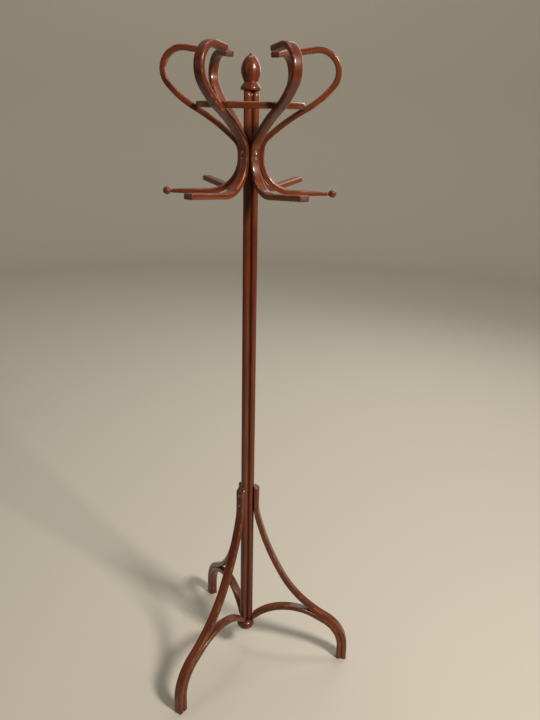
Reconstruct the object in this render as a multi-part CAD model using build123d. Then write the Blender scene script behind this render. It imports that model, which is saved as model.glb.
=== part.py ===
from build123d import *
import math
import os

# Free-standing bentwood coat stand, in millimetres, +Z up. The origin is on the floor, on the post's axis.
# A three-lobed post carries an acorn finial, six S-shaped arms round a hoop, and three legs with braces.
# Outlines of bent straps are walked in the plane (r, z) through the post's axis, then turned to their angle.

# Overall sizes
overall_height = 1851.0
foot_radius = 327.0
arm_count = 6
leg_count = 3
arm_angle0 = 0.0
leg_angle0 = -5.0

# Post: three round lobes that touch each other, over a round core
lobe_radius = 10.3
lobe_offset = 2 * lobe_radius / math.sqrt(3)
core_radius = 0.97 * lobe_radius
post_bottom = 124.0
post_top = overall_height - 104.0

# Turned ends of the post
tenon_radius = 7.0
tenon_length = 30.0
button_radius = 28.0
button_height = 30.0
button_flat_share = 0.55
finial_height = 87.0
collar_radius = 26.0
nub_radius = 4.6

# Outline of the finial, as (distance from the axis, height above the post)
collar_edge = [(24.0, 0.0), (collar_radius, 2.5), (collar_radius, 7.0)]
collar_sweep = (22.2, 13.0)
acorn_outline = [(17.0, 19.5), (20.4, 28.0), (23.9, 38.0), (24.9, 47.0)]
acorn_outline += [(23.4, 57.0), (19.6, 67.0), (13.0, 76.5)]

# Arms. A piece of a strap's path is (bend radius, turn in degrees) or (0, length of a straight run).
arm_width = 26.0
arm_thickness = 15.0
waist_length = 18.0
waist_bend = (45.0, -47.0)
flare_bend = (480.0, -14.0)
rise_bend = (242.0, 21.0)
curl_bend = (51.0, 138.0)
curl_tip_length = 44.0
hook_bend_radius = 86.3

# The four plain arms, whose hooks are long, blunt and turned up a little
plain_hook_turn = 95.0
plain_hook_end_radius = 270.0

# Side arms, whose hooks are drawn out slim and carry a turned knob
knob_arms = (0, 3)
slim_hook_turn = 90.0
slim_start_gap = 1.0
slim_end_radius = 202.0
slim_width = 12.0
slim_thickness = 11.0
slim_corner = 5.0
knob_radius = 10.5
knob_neck_radius = 4.6
knob_stem_length = 1.5
knob_length = 26.0
spigot_radius = 3.0
spigot_length = 14.0

# Hoop that ties the arms together, seated in a notch in each arm
ring_width = 11.0
ring_height = 16.0
ring_corner = 3.5
ring_notch_depth = 7.0
ring_inset = 1.0

# Legs and braces. The first straight stands on the floor, then the knee, then the bends up to the post.
leg_width = 26.0
leg_thickness = 16.0
brace_thickness = 16.0
foot_straight = 46.0
knee_radius = 130.0
knee_turn = 60.0
leg_bends = [(370.0, -31.0), (840.0, -15.0), (150.0, -14.0)]
leg_top_straight = 70.0
leg_top_bevel = 35.0
brace_bends = [(0, 35.0), (170.0, 47.0), (140.0, 25.0), (0, 19.0)]
brace_overrun = 14.0

# Rounding of the straps, and clearances
strap_corner = 4.5
end_rounding = 3.0
fit_gap = 0.1
bore_relief = 2.0
shortest_run = 0.01

# Slotted countersunk wood screws
screw_radius = 2.0
screw_head_radius = 4.0
screw_head_height = 2.4
screw_tip_length = 4.0
slot_width = 1.0
slot_depth = 1.1
head_clearance = 8.0
head_inset = 0.01
arm_screw_length = 28.0
ring_screw_length = 22.0
leg_screw_length = 30.0
brace_screw_length = 26.0
waist_screw_spacing = 16.0
leg_screw_drops = (22.0, 58.0)
foot_screw_height = 24.0
knee_screw_angle = 35.0
toe_screw_setback = 6.0


def walk(point, heading, pieces):
    """End point and heading, in degrees from the outward radius, after the pieces of a path."""
    r, z = point
    for radius, amount in pieces:
        start = math.radians(heading)
        if radius == 0:
            r += amount * math.cos(start)
            z += amount * math.sin(start)
        else:
            side = math.copysign(radius, amount)
            heading += amount
            finish = math.radians(heading)
            r += side * (math.sin(finish) - math.sin(start))
            z -= side * (math.cos(finish) - math.cos(start))
    return (r, z), heading


def scaled(pieces, factor):
    """The same pieces with every length and radius scaled, and the turns kept."""
    result = []
    for radius, amount in pieces:
        if radius == 0:
            result.append((0, amount * factor))
        else:
            result.append((radius * factor, amount))
    return result


def bent_path(point, heading, pieces):
    """Wire through the pieces, in the XZ plane, as straight lines and tangent arcs."""
    edges = []
    for radius, amount in pieces:
        end, end_heading = walk(point, heading, [(radius, amount)])
        start_vector = Vector(point[0], 0, point[1])
        end_vector = Vector(end[0], 0, end[1])
        if radius == 0:
            edges.append(Edge.make_line(start_vector, end_vector))
        else:
            middle, _ = walk(point, heading, [(radius, amount / 2)])
            edges.append(Edge.make_three_point_arc(start_vector, Vector(middle[0], 0, middle[1]), end_vector))
        point = end
        heading = end_heading
    return Wire(edges)


def strap(point, heading, pieces, width, thickness, gap=0.0):
    """Flat bent strap with rounded edges, swept along its path and grown by a gap all round."""
    path = bent_path(point, heading, pieces)
    plane = Plane(origin=path @ 0, x_dir=(0, 1, 0), z_dir=path % 0)
    section = RectangleRounded(width + 2 * gap, thickness + 2 * gap, strap_corner + gap)
    return sweep(plane * section, path=path)


def rounded_end(part, end):
    """Round the edges of the strap's end face, which is the face nearest to the path's end."""
    end_vector = Vector(end[0], 0, end[1])
    face = part.faces().sort_by_distance(end_vector)[0]
    return fillet(face.edges(), end_rounding)


def turned(part, angle):
    """The part, turned about the post's axis."""
    return Rot(0, 0, angle) * part


def contact_radius(angle):
    """How far from the axis a flat strap in this direction touches the post."""
    lobe_spacing = 360 / leg_count
    off_lobe = (angle - leg_angle0 + lobe_spacing / 2) % lobe_spacing - lobe_spacing / 2
    return lobe_offset * math.cos(math.radians(off_lobe)) + lobe_radius


def screw_profile(length, gap, headroom):
    """Half section of a countersunk screw, head up at z = 0 and tip down, grown by a gap."""
    head = screw_head_radius + gap
    shank = screw_radius + gap
    points = [(0, headroom), (head, headroom), (head, 0), (shank, -screw_head_height)]
    points += [(shank, screw_tip_length - length), (0, -length - gap)]
    return Plane.XZ * make_face(Polyline(*points, close=True))


def screw(length):
    """Countersunk wood screw with a slotted head."""
    body = revolve(screw_profile(length, 0, -head_inset), Axis.Z)
    slot = Box(3 * screw_head_radius, slot_width, 2 * slot_depth)
    return body - slot


def screw_hole(length):
    """Cutter for the countersunk hole of a screw."""
    return revolve(screw_profile(length, fit_gap, head_clearance), Axis.Z)


def screw_place(r, z, heading, angle):
    """Place of a screw in the plane at an angle round the post, its head facing along the heading."""
    out = Vector(math.cos(math.radians(heading)), 0, math.sin(math.radians(heading)))
    return Rot(0, 0, angle) * Plane(origin=(r, 0, z), x_dir=(0, 1, 0), z_dir=out).location


def angles(count, first):
    """Evenly spaced angles round the post."""
    return [first + i * 360 / count for i in range(count)]


arm_angles = angles(arm_count, arm_angle0)
leg_angles = angles(leg_count, leg_angle0)
lobe_contact = lobe_offset + lobe_radius

# Heights of the arms, worked down from the top of the upper loops
curl_to_top = (curl_bend[0], 180 - (90 + waist_bend[1] + flare_bend[1] + rise_bend[1]))
climb = walk((0, 0), 90, [waist_bend, flare_bend, rise_bend, curl_to_top])[0][1]
waist_top = overall_height - arm_thickness / 2 - climb
waist_middle = waist_top - waist_length / 2
waist_bottom = waist_top - waist_length
hook_height = waist_bottom - hook_bend_radius
slim_start_radius = lobe_contact + arm_thickness / 2 + hook_bend_radius + slim_start_gap

# Seat of the hoop, where the arm changes from its outward flare to its rise
seat_point, seat_heading = walk((lobe_contact + arm_thickness / 2, waist_top), 90, [waist_bend, flare_bend])
seat_slope = math.tan(math.radians(seat_heading))
ring_radius = seat_point[0] - ring_inset
seat_face = seat_point[1] + arm_thickness / 2 / math.cos(math.radians(seat_heading))
ring_bottom = seat_face + (ring_radius - seat_point[0]) * seat_slope - ring_notch_depth
ring_centre = (ring_radius - ring_width / 2, ring_bottom + ring_height / 2)

# Legs and braces, worked up from the feet
brace_foot_radius = foot_radius - (leg_thickness + brace_thickness) / 2
brace_foot_face = brace_foot_radius - brace_thickness / 2
leg_knee = (knee_radius, knee_turn)
brace_knee = (knee_radius - (leg_thickness + brace_thickness) / 2, knee_turn)
knee_centre = (foot_radius - knee_radius, foot_straight)
knee_end = walk((foot_radius, 0), 90, [(0, foot_straight), leg_knee])
brace_knee_end = walk((brace_foot_radius, 0), 90, [(0, foot_straight), brace_knee])
leg_top_radius = lobe_contact + leg_thickness / 2
leg_run = -walk((0, 0), knee_end[1], leg_bends)[0][0]
leg_pieces = scaled(leg_bends, (knee_end[0][0] - leg_top_radius) / leg_run)
brace_run = -walk((0, 0), brace_knee_end[1], brace_bends)[0][0]
brace_pieces = scaled(brace_bends, (brace_knee_end[0][0] - lobe_contact) / brace_run)
leg_top = walk(knee_end[0], knee_end[1], leg_pieces)[0][1] + leg_top_straight
brace_end, brace_end_heading = walk(brace_knee_end[0], brace_knee_end[1], brace_pieces)

# Places of all the screws
waist_screws = []
ring_screws = []
for arm_angle in arm_angles:
    outer_face = contact_radius(arm_angle) + arm_thickness
    for side in (-0.5, 0.5):
        height = waist_middle + side * waist_screw_spacing
        waist_screws.append(screw_place(outer_face, height, 0, arm_angle))
    offset = Vector(ring_centre[0] - seat_point[0], ring_centre[1] - seat_point[1])
    shift = offset.dot(Vector(1, 0).rotate(Axis.Z, seat_heading))
    under = walk(seat_point, seat_heading, [(0, shift)])[0]
    head = walk(under, seat_heading - 90, [(0, arm_thickness / 2)])[0]
    ring_screws.append(screw_place(head[0], head[1], seat_heading - 90, arm_angle))

leg_screws = []
foot_screws = []
toe_screws = []
knee_head = walk(knee_centre, knee_screw_angle, [(0, brace_knee[0] - brace_thickness / 2)])[0]
toe_point = walk(brace_end, brace_end_heading, [(0, -toe_screw_setback)])[0]
toe_heading = brace_end_heading + 90
toe_head = walk(toe_point, toe_heading, [(0, brace_thickness / 2)])[0]
for leg_angle in leg_angles:
    for drop in leg_screw_drops:
        leg_screws.append(screw_place(lobe_contact + leg_thickness, leg_top - drop, 0, leg_angle))
    foot_screws.append(screw_place(brace_foot_face, foot_screw_height, 180, leg_angle))
    foot_screws.append(screw_place(knee_head[0], knee_head[1], knee_screw_angle + 180, leg_angle))
    toe_screws.append(screw_place(toe_head[0], toe_head[1], toe_heading, leg_angle))


def drilled(part, places, length):
    """The part with a countersunk hole for each screw in these places."""
    cutter = screw_hole(length)
    return part - [place * cutter for place in places]


def make_post():
    """Three-lobed post, bored at both ends for the turned pieces and drilled for its screws."""
    section = Circle(core_radius)
    for angle in leg_angles:
        section += Rot(0, 0, angle) * Pos(lobe_offset, 0) * Circle(lobe_radius)
    post = Pos(0, 0, post_bottom) * extrude(section, post_top - post_bottom)
    bore_depth = tenon_length + bore_relief
    bore = Cylinder(tenon_radius + fit_gap, bore_depth)
    post -= Pos(0, 0, post_top - bore_depth / 2) * bore
    post -= Pos(0, 0, post_bottom + bore_depth / 2) * bore
    post = drilled(post, waist_screws, arm_screw_length)
    post = drilled(post, leg_screws, leg_screw_length)
    return drilled(post, toe_screws, brace_screw_length)


def turned_solid(outline):
    """Round solid from half of its outline, given as (distance from the axis, height)."""
    return revolve(Plane.XZ * make_face(outline), Axis.Z)


def ball_end(radius, start_distance, top):
    """Quarter of a ball's outline, centred on the axis, from its side up to its top."""
    centre = top - radius
    start_angle = -math.degrees(math.acos(start_distance / radius))
    return CenterArc((0, centre), radius, start_angle, 90 - start_angle)


def make_finial():
    """Acorn on a flared collar, with a tenon below."""
    nub_side = finial_height - nub_radius
    outline = Polyline((0, finial_height), (0, -tenon_length), (tenon_radius, -tenon_length))
    outline += Polyline((tenon_radius, -tenon_length), (tenon_radius, 0), *collar_edge)
    outline += ThreePointArc(collar_edge[-1], collar_sweep, acorn_outline[0])
    outline += Spline(*acorn_outline, (nub_radius, nub_side))
    outline += ball_end(nub_radius, nub_radius, finial_height)
    return Pos(0, 0, post_top) * turned_solid(outline)


def make_base_button():
    """Flattened ball under the post, with a tenon above."""
    flat = button_flat_share * button_radius
    outline = Polyline(
        (flat, 0), (tenon_radius, 0), (tenon_radius, tenon_length), (0, tenon_length), (0, -button_height)
    )
    outline += Polyline((0, -button_height), (flat, -button_height))
    outline += ThreePointArc((flat, -button_height), (button_radius, -button_height / 2), (flat, 0))
    return Pos(0, 0, post_bottom) * turned_solid(outline)


def make_ring():
    """Bent hoop that ties the arms together."""
    section = Pos(ring_centre[0], ring_centre[1]) * RectangleRounded(ring_width, ring_height, ring_corner)
    return drilled(revolve(Plane.XZ * section, Axis.Z), ring_screws, ring_screw_length)


def ring_notch():
    """Cutter for the hoop's seat in an arm."""
    width = ring_width + 2 * fit_gap
    height = ring_height + ring_notch_depth
    section = Pos(ring_centre[0], ring_bottom + height / 2 - fit_gap) * Rectangle(width, height)
    return revolve(Plane.XZ * section, Axis.Z)


def arm_course(number):
    """Start, heading and pieces of an arm's path, from the end of its full-width hook to its tip."""
    inset = lobe_contact - contact_radius(arm_angles[number])
    waist_radius = contact_radius(arm_angles[number]) + arm_thickness / 2
    leaning = inset / math.cos(math.radians(90 + waist_bend[1]))
    lift = leaning * math.sin(math.radians(90 + waist_bend[1]))
    straight_end = plain_hook_end_radius
    hook_turn = plain_hook_turn
    if number in knob_arms:
        straight_end = slim_start_radius
        hook_turn = slim_hook_turn
    hook_bend = (hook_bend_radius, hook_turn)
    bend_end, hook_heading = walk((waist_radius, waist_bottom), -90, [hook_bend])
    hook_run = (straight_end - bend_end[0]) / math.cos(math.radians(hook_heading))
    start = walk(bend_end, hook_heading, [(0, hook_run)])[0]
    pieces = [(0, hook_run), (hook_bend_radius, -hook_turn), (0, waist_length - lift), waist_bend]
    pieces += [(0, max(leaning, shortest_run)), flare_bend, rise_bend, curl_bend, (0, curl_tip_length)]
    return start, hook_heading + 180, pieces


def arm_strap(number):
    """Bare S-shaped arm in its own plane, from the end of its hook to the tip of its upper curl."""
    start, heading, pieces = arm_course(number)
    arm = strap(start, heading, pieces, arm_width, arm_thickness)
    arm = rounded_end(arm, walk(start, heading, pieces)[0])
    if number in knob_arms:
        plane = Plane(origin=(slim_start_radius, 0, hook_height), x_dir=(0, 1, 0), z_dir=(1, 0, 0))
        thick = plane * RectangleRounded(arm_width, arm_thickness, strap_corner)
        slim = RectangleRounded(slim_width, slim_thickness, slim_corner)
        arm += loft([thick, plane.offset(slim_end_radius - slim_start_radius) * slim])
        socket = Cylinder(spigot_radius + fit_gap, 2 * spigot_length + bore_relief)
        arm -= Pos(slim_end_radius, 0, hook_height) * Rot(0, 90, 0) * socket
    else:
        arm = rounded_end(arm, start)
    return arm


def make_arm(number, notch):
    """Arm in its place, notched for the hoop, relieved where its neighbours press in, and drilled."""
    arm = turned(arm_strap(number), arm_angles[number]) - notch
    if contact_radius(arm_angles[number]) < contact_radius(arm_angles[number - 1]):
        for other in (number - 1, (number + 1) % arm_count):
            neighbour = strap(*arm_course(other), arm_width, arm_thickness, fit_gap)
            arm -= turned(neighbour, arm_angles[other])
    arm = drilled(arm, waist_screws[2 * number:2 * number + 2], arm_screw_length)
    return drilled(arm, ring_screws[number:number + 1], ring_screw_length)


def make_hook_knob(number):
    """Turned knob with a neck and a spigot, on the end of a slim hook."""
    stem = slim_thickness / 2
    ball = ball_end(knob_radius, stem, knob_length)
    neck_end = (ball @ 0).Y
    outline = Polyline((0, knob_length), (0, -spigot_length), (spigot_radius, -spigot_length))
    stem_end = (stem, knob_stem_length)
    outline += Polyline((spigot_radius, -spigot_length), (spigot_radius, 0), (stem, 0), stem_end)
    neck_middle = (knob_neck_radius, (knob_stem_length + neck_end) / 2)
    outline += ThreePointArc(stem_end, neck_middle, (stem, neck_end))
    outline += ball
    place = Pos(slim_end_radius, 0, hook_height) * Rot(0, 90, 0)
    return turned(place * turned_solid(outline), arm_angles[number])


def make_leg(angle):
    """Leg strap, from the floor over the knee and up along the post, bevelled at its top."""
    pieces = [(0, foot_straight), leg_knee] + leg_pieces + [(0, leg_top_straight)]
    leg = strap((foot_radius, 0), 90, pieces, leg_width, leg_thickness)
    bevel = Pos(leg_thickness, 0, leg_thickness) * Box(2 * leg_thickness, 2 * leg_width, 2 * leg_thickness)
    leg -= Pos(lobe_contact, 0, leg_top) * Rot(0, leg_top_bevel, 0) * bevel
    leg = turned(leg, angle)
    leg = drilled(leg, leg_screws, leg_screw_length)
    return drilled(leg, foot_screws, brace_screw_length)


def make_brace(angle):
    """Brace strap, from the floor under the leg's knee and over in an arch to the post's foot."""
    pieces = [(0, foot_straight), brace_knee] + brace_pieces + [(0, brace_overrun)]
    brace = strap((brace_foot_radius, 0), 90, pieces, leg_width, brace_thickness)
    brace -= Pos(0, 0, brace_end[1]) * Box(2 * lobe_contact, 4 * lobe_contact, 6 * brace_thickness)
    brace = turned(brace, angle)
    brace = drilled(brace, foot_screws, brace_screw_length)
    return drilled(brace, toe_screws, brace_screw_length)


def screw_group(places, length):
    """One group of equal screws."""
    return Compound(children=[place * screw(length) for place in places])


def save(part, name):
    """Write one named piece."""
    export_step(part, f"parts/{name}.step")


os.makedirs("parts", exist_ok=True)
save(make_post(), "post")
save(make_finial(), "finial")
save(make_base_button(), "base_button")
save(make_ring(), "crown_ring")
notch_cutter = ring_notch()
for arm_number in range(arm_count):
    save(make_arm(arm_number, notch_cutter), f"arm_{arm_number + 1}")
for arm_number in knob_arms:
    save(make_hook_knob(arm_number), f"hook_knob_{arm_number + 1}")
for leg_number in range(leg_count):
    save(make_leg(leg_angles[leg_number]), f"leg_{leg_number + 1}")
    save(make_brace(leg_angles[leg_number]), f"brace_{leg_number + 1}")
save(screw_group(waist_screws, arm_screw_length), "arm_post_screws")
save(screw_group(ring_screws, ring_screw_length), "ring_screws")
save(screw_group(leg_screws, leg_screw_length), "leg_post_screws")
save(screw_group(foot_screws, brace_screw_length), "leg_brace_screws")
save(screw_group(toe_screws, brace_screw_length), "brace_post_screws")
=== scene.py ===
"""Looks of a free-standing bentwood coat stand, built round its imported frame. Lengths are in metres."""
import logging
import math
import random
from dataclasses import dataclass
from enum import Enum
from typing import Callable, Sequence, Union

import bpy
from mathutils import Matrix, Vector


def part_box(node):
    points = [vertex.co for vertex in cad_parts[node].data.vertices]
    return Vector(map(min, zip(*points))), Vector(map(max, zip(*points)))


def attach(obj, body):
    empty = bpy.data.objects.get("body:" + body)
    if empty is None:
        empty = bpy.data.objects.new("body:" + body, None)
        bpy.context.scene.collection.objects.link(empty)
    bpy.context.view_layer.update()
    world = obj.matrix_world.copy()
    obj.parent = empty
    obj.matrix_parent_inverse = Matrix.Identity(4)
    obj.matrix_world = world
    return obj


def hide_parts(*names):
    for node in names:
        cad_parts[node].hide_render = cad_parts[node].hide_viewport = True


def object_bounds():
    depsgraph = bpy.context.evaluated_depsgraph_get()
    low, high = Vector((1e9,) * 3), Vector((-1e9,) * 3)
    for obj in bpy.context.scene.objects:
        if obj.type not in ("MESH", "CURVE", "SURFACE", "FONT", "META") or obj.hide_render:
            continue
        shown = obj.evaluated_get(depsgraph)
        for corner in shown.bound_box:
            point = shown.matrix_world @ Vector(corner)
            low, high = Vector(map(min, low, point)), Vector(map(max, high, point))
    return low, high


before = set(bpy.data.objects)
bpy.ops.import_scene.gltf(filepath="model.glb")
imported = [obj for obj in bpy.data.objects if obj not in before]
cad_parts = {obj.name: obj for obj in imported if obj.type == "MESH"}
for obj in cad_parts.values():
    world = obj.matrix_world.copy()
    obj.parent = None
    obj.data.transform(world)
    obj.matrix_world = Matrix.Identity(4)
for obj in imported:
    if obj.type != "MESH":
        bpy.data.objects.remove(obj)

CAD_LOW, CAD_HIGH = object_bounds()
BODY = "root"
MM = 0.001
LOG = logging.getLogger("coat_stand")

Socket = bpy.types.NodeSocket
Value = Union[float, Sequence[float], Socket]
Point = tuple[float, float]
Colour = tuple[float, float, float, float]
Straightened = tuple[float, float, float, float]
Rings = list[tuple[int, list[Straightened]]]


# ---------------------------------------------------------------------------------------------------------
# Bent paths
# ---------------------------------------------------------------------------------------------------------


@dataclass(frozen=True)
class Bend:
    """One stretch of a bent strap, a circular arc or a straight run."""

    radius: float
    amount: float

    @property
    def length(self) -> float:
        """Length along the stretch."""
        return self.amount if self.radius == 0 else abs(math.radians(self.amount)) * self.radius

    def scaled(self, factor: float) -> "Bend":
        """The same stretch with its lengths scaled and its turn kept."""
        if self.radius == 0:
            return Bend(0, self.amount * factor)
        return Bend(self.radius * factor, self.amount)


def straight(length: float) -> Bend:
    """A straight run."""
    return Bend(0, length)


def arc(radius: float, turn: float) -> Bend:
    """An arc that turns by so many degrees, anticlockwise where it is positive."""
    return Bend(radius, turn)


@dataclass(frozen=True)
class Station:
    """A place on a path: distance out from the post's axis, height, and heading in radians."""

    out: float
    height: float
    heading: float

    def beside(self, offset: float, ahead: float = 0.0) -> Point:
        """The point this far to the left of the path and this far ahead.

        Args:
            offset: Distance to the left of the heading.
            ahead: Distance along the heading.

        Returns:
            Distance from the post's axis, and height.
        """
        cos, sin = math.cos(self.heading), math.sin(self.heading)
        return self.out - sin * offset + cos * ahead, self.height + cos * offset + sin * ahead


@dataclass
class BentPath:
    """Chain of straight runs and tangent arcs in an upright plane through the post's axis.

    Attributes:
        start: First point, out from the axis and up.
        heading: First heading, in degrees from outwards.
        bends: The stretches, in order.
    """

    start: Point
    heading: float
    bends: list[Bend]
    closest_marks = 0.3

    def at(self, along: float) -> Station:
        """The station at a distance from the start.

        Args:
            along: Distance, carried on straight past either end.

        Returns:
            The station.
        """
        out, height = self.start
        heading = math.radians(self.heading)
        left = along
        for number, bend in enumerate(self.bends):
            last = number == len(self.bends) - 1
            if bend.radius == 0:
                step = left if last or left < bend.length else bend.length
                out += step * math.cos(heading)
                height += step * math.sin(heading)
            else:
                step = min(left, bend.length)
                side = math.copysign(bend.radius, bend.amount)
                turned = heading + step / side
                out += side * (math.sin(turned) - math.sin(heading))
                height -= side * (math.cos(turned) - math.cos(heading))
                heading = turned
            left -= step
            if left <= 0 and not last:
                break
        return Station(out, height, heading)

    @property
    def length(self) -> float:
        """Whole length."""
        return sum(bend.length for bend in self.bends)

    @property
    def end(self) -> Station:
        """The last station."""
        return self.at(self.length)

    def distances(self, fine: float, coarse: float, dense_ends: float) -> list[float]:
        """Distances at which a strap gets a ring of points.

        Args:
            fine: Spacing on arcs.
            coarse: Spacing on straight runs.
            dense_ends: How far from both ends the spacing is fine.

        Returns:
            Rising distances from 0 to the whole length.
        """
        marks = [0.0]
        for bend in self.bends:
            spacing = fine if bend.radius else coarse
            count = max(1, math.ceil(bend.length / spacing))
            base = marks[-1]
            marks += [base + bend.length * (i + 1) / count for i in range(count)]
        whole = marks[-1]
        steps = max(1, math.ceil(dense_ends / fine))
        marks += [dense_ends * i / steps for i in range(1, steps)]
        marks += [whole - dense_ends * i / steps for i in range(1, steps)]
        result = [0.0]
        for mark in sorted(marks):
            if min(mark - result[-1], whole - mark) > fine * self.closest_marks:
                result.append(mark)
        return result + [whole]


# ---------------------------------------------------------------------------------------------------------
# Sections and meshes
# ---------------------------------------------------------------------------------------------------------


@dataclass(frozen=True)
class SectionPoint:
    """A point of a section: across the strap, out from its middle plane, and how sharp an edge it is."""

    across: float
    out: float
    edge: float


@dataclass(frozen=True)
class FlatSection:
    """Rounded rectangle, such as a strap's section."""

    width: float
    thickness: float
    corner: float
    corner_steps: int = 5
    side_steps: int = 4
    fullest_corner: float = 0.499
    edge_softness: float = 0.7

    def points(self) -> list[SectionPoint]:
        """The outline, anticlockwise, with even counts on every side and corner.

        Returns:
            Its points.
        """
        r = min(self.corner, self.thickness * self.fullest_corner)
        wide, thick = self.width / 2 - r, self.thickness / 2 - r
        corners = ((wide, thick), (-wide, thick), (-wide, -thick), (wide, -thick))
        result: list[SectionPoint] = []
        for quarter, (x, y) in enumerate(corners):
            for i in range(self.corner_steps + 1):
                share = i / self.corner_steps
                turn = (quarter + share) * math.pi / 2
                sharp = math.sin(share * math.pi) ** self.edge_softness
                result.append(SectionPoint(x + r * math.cos(turn), y + r * math.sin(turn), sharp))
            last, (nx, ny) = result[-1], corners[(quarter + 1) % 4]
            turn = (quarter + 1) * math.pi / 2
            goal = (nx + r * math.cos(turn), ny + r * math.sin(turn))
            for i in range(1, self.side_steps):
                share = i / self.side_steps
                across = last.across + (goal[0] - last.across) * share
                result.append(SectionPoint(across, last.out + (goal[1] - last.out) * share, 0.0))
        return result


@dataclass(frozen=True)
class LobedSection:
    """Three round lobes that meet in V grooves, over a round core."""

    lobe_radius: float
    lobe_offset: float
    core_radius: float
    lobe_steps: int = 22
    groove_steps: int = 3

    def points(self) -> list[SectionPoint]:
        """The outline, anticlockwise, starting in a groove.

        Returns:
            Its points.
        """
        off, r, core = self.lobe_offset, self.lobe_radius, self.core_radius
        crossing = (off * off + core * core - r * r) / (2 * off)
        rise = math.sqrt(max(core * core - crossing * crossing, 0.0))
        start = math.atan2(rise, crossing - off)
        groove = math.pi / 3 - math.atan2(rise, crossing)
        result: list[SectionPoint] = []
        for lobe in range(3):
            middle = lobe * 2 * math.pi / 3
            for i in range(self.lobe_steps + 1):
                turn = start * (2 * i / self.lobe_steps - 1)
                x, y = off + r * math.cos(turn), r * math.sin(turn)
                result.append(self._turned(x, y, middle))
            for i in range(1, self.groove_steps):
                turn = math.pi / 3 + groove * (2 * i / self.groove_steps - 1)
                result.append(self._turned(core * math.cos(turn), core * math.sin(turn), middle))
        return result

    @staticmethod
    def _turned(x: float, y: float, turn: float) -> SectionPoint:
        """The point turned about the axis."""
        cos, sin = math.cos(turn), math.sin(turn)
        return SectionPoint(x * cos - y * sin, x * sin + y * cos, 0.0)


@dataclass(frozen=True)
class StrapEnd:
    """Finish of one end: its rounding, and a slant worked by pushing points along the strap.

    Attributes:
        radius: Radius of the rounding.
        setback: Push along the path at the middle plane.
        slope: Push along the path for each unit of distance left of the path.
        reach: Length of strap over which the push fades out.
    """

    radius: float = 3.0 * MM
    setback: float = 0.0
    slope: float = 0.0
    reach: float = 30.0 * MM


SAWN_END = StrapEnd(0.8 * MM, reach=0)


def smooth(value: float) -> float:
    """Smooth step from 0 to 1."""
    value = min(max(value, 0.0), 1.0)
    return value * value * (3 - 2 * value)


class Waver:
    """Slow, small unevenness of hand-worked wood, as a sum of sine waves with seeded phases."""

    count = 3
    shortening = 0.83

    def __init__(self, seed: int, height: float, longest: float = 0.31) -> None:
        """Draws the waves.

        Args:
            seed: Seed of the phases.
            height: Largest departure.
            longest: Longest wave.
        """
        rng = random.Random(seed)
        self.height = height / self.count
        lengths = [longest / (1 + self.shortening * i) for i in range(self.count)]
        self.waves = [(length, rng.uniform(0, math.tau)) for length in lengths]

    def __call__(self, along: float) -> float:
        """The departure at a distance along the piece."""
        return sum(self.height * math.sin(math.tau * along / length + phase) for length, phase in self.waves)


class Surface:
    """Mesh in the making, with the coordinates that the unbent, straight piece would have."""

    def __init__(self) -> None:
        """Starts empty."""
        self.points: list[Vector] = []
        self.faces: list[tuple[int, ...]] = []
        self.grain: list[list[Point]] = []
        self.depth: list[list[Point]] = []
        self.finish: list[int] = []

    def ring(self, points: Sequence[Vector]) -> int:
        """Adds a ring of points.

        Args:
            points: The points, in order.

        Returns:
            Index of the first.
        """
        first = len(self.points)
        self.points += points
        return first

    def face(self, corners: Sequence[int], straightened: Sequence[Straightened], finish: int) -> None:
        """Adds a face.

        Args:
            corners: Indices of its points.
            straightened: (along, across, out, edge) for each corner.
            finish: Index of its material.
        """
        self.faces.append(tuple(corners))
        self.grain.append([(s[0], s[1]) for s in straightened])
        self.depth.append([(s[2], s[3]) for s in straightened])
        self.finish.append(finish)

    def skin(self, rings: Rings) -> None:
        """Joins rings with quads of material 0 and closes both ends with material 1.

        Args:
            rings: Index of each ring's first point, with the straightened place of its points.
        """
        count = len(rings[0][1])
        for (a, sa), (b, sb) in zip(rings, rings[1:]):
            for i in range(count):
                j = (i + 1) % count
                self.face((a + i, a + j, b + j, b + i), (sa[i], sa[j], sb[j], sb[i]), 0)
        for (first, straightened), order in ((rings[0], range(count - 1, -1, -1)), (rings[-1], range(count))):
            self.face([first + i for i in order], [straightened[i] for i in order], 1)

    def to_object(self, name: str) -> bpy.types.Object:
        """Makes the object.

        Args:
            name: Name of the object and its mesh.

        Returns:
            The object, linked to the scene.
        """
        mesh = bpy.data.meshes.new(name)
        mesh.from_pydata([tuple(p) for p in self.points], [], self.faces)
        grain = mesh.uv_layers.new(name="grain")
        depth = mesh.uv_layers.new(name="depth")
        for number, polygon in enumerate(mesh.polygons):
            polygon.use_smooth = True
            polygon.material_index = self.finish[number]
            for corner, loop in enumerate(polygon.loop_indices):
                grain.data[loop].uv = self.grain[number][corner]
                depth.data[loop].uv = self.depth[number][corner]
        mesh.validate()
        made = bpy.data.objects.new(name, mesh)
        bpy.context.scene.collection.objects.link(made)
        return made


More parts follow.
